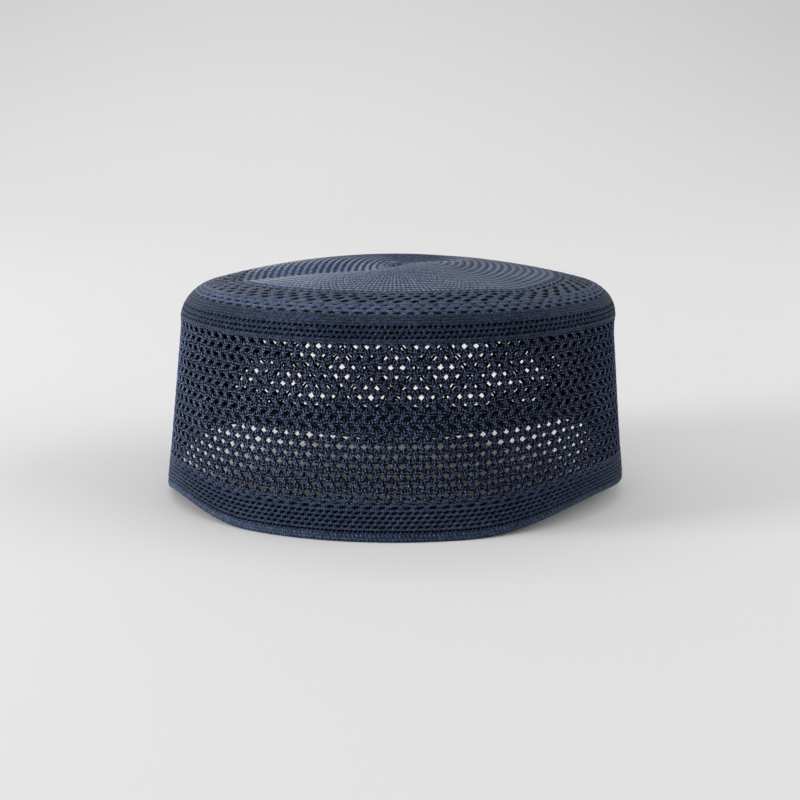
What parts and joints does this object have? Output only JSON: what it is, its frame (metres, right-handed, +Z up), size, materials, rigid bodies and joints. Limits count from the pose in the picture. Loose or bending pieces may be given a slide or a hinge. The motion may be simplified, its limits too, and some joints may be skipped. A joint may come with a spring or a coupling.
{
  "type": "knitted prayer cap",
  "caption": "Soft oval knitted prayer cap: low domed crown, near-vertical side wall of open net, and a narrow hem at a slightly waved rim.",
  "frame": {"origin": "on the surface that the cap stands on, under the middle of its bounding box", "axes": "+Z up, X along the long axis of the oval rim, -Y towards the front that the picture shows"},
  "size_m": [0.2, 0.14, 0.0984],
  "materials": {
    "crown_knit": "navy nylon yarn knitted in close rings, soft sheen",
    "net_knit": "navy nylon yarn in an open crossed net, soft sheen along the yarns",
    "hem_knit": "navy nylon yarn, close flat hem"
  },
  "bodies": {
    "root": {"crown": "crown_knit", "side_wall": "net_knit", "rim_band": "hem_knit"}
  },
  "joints": []
}
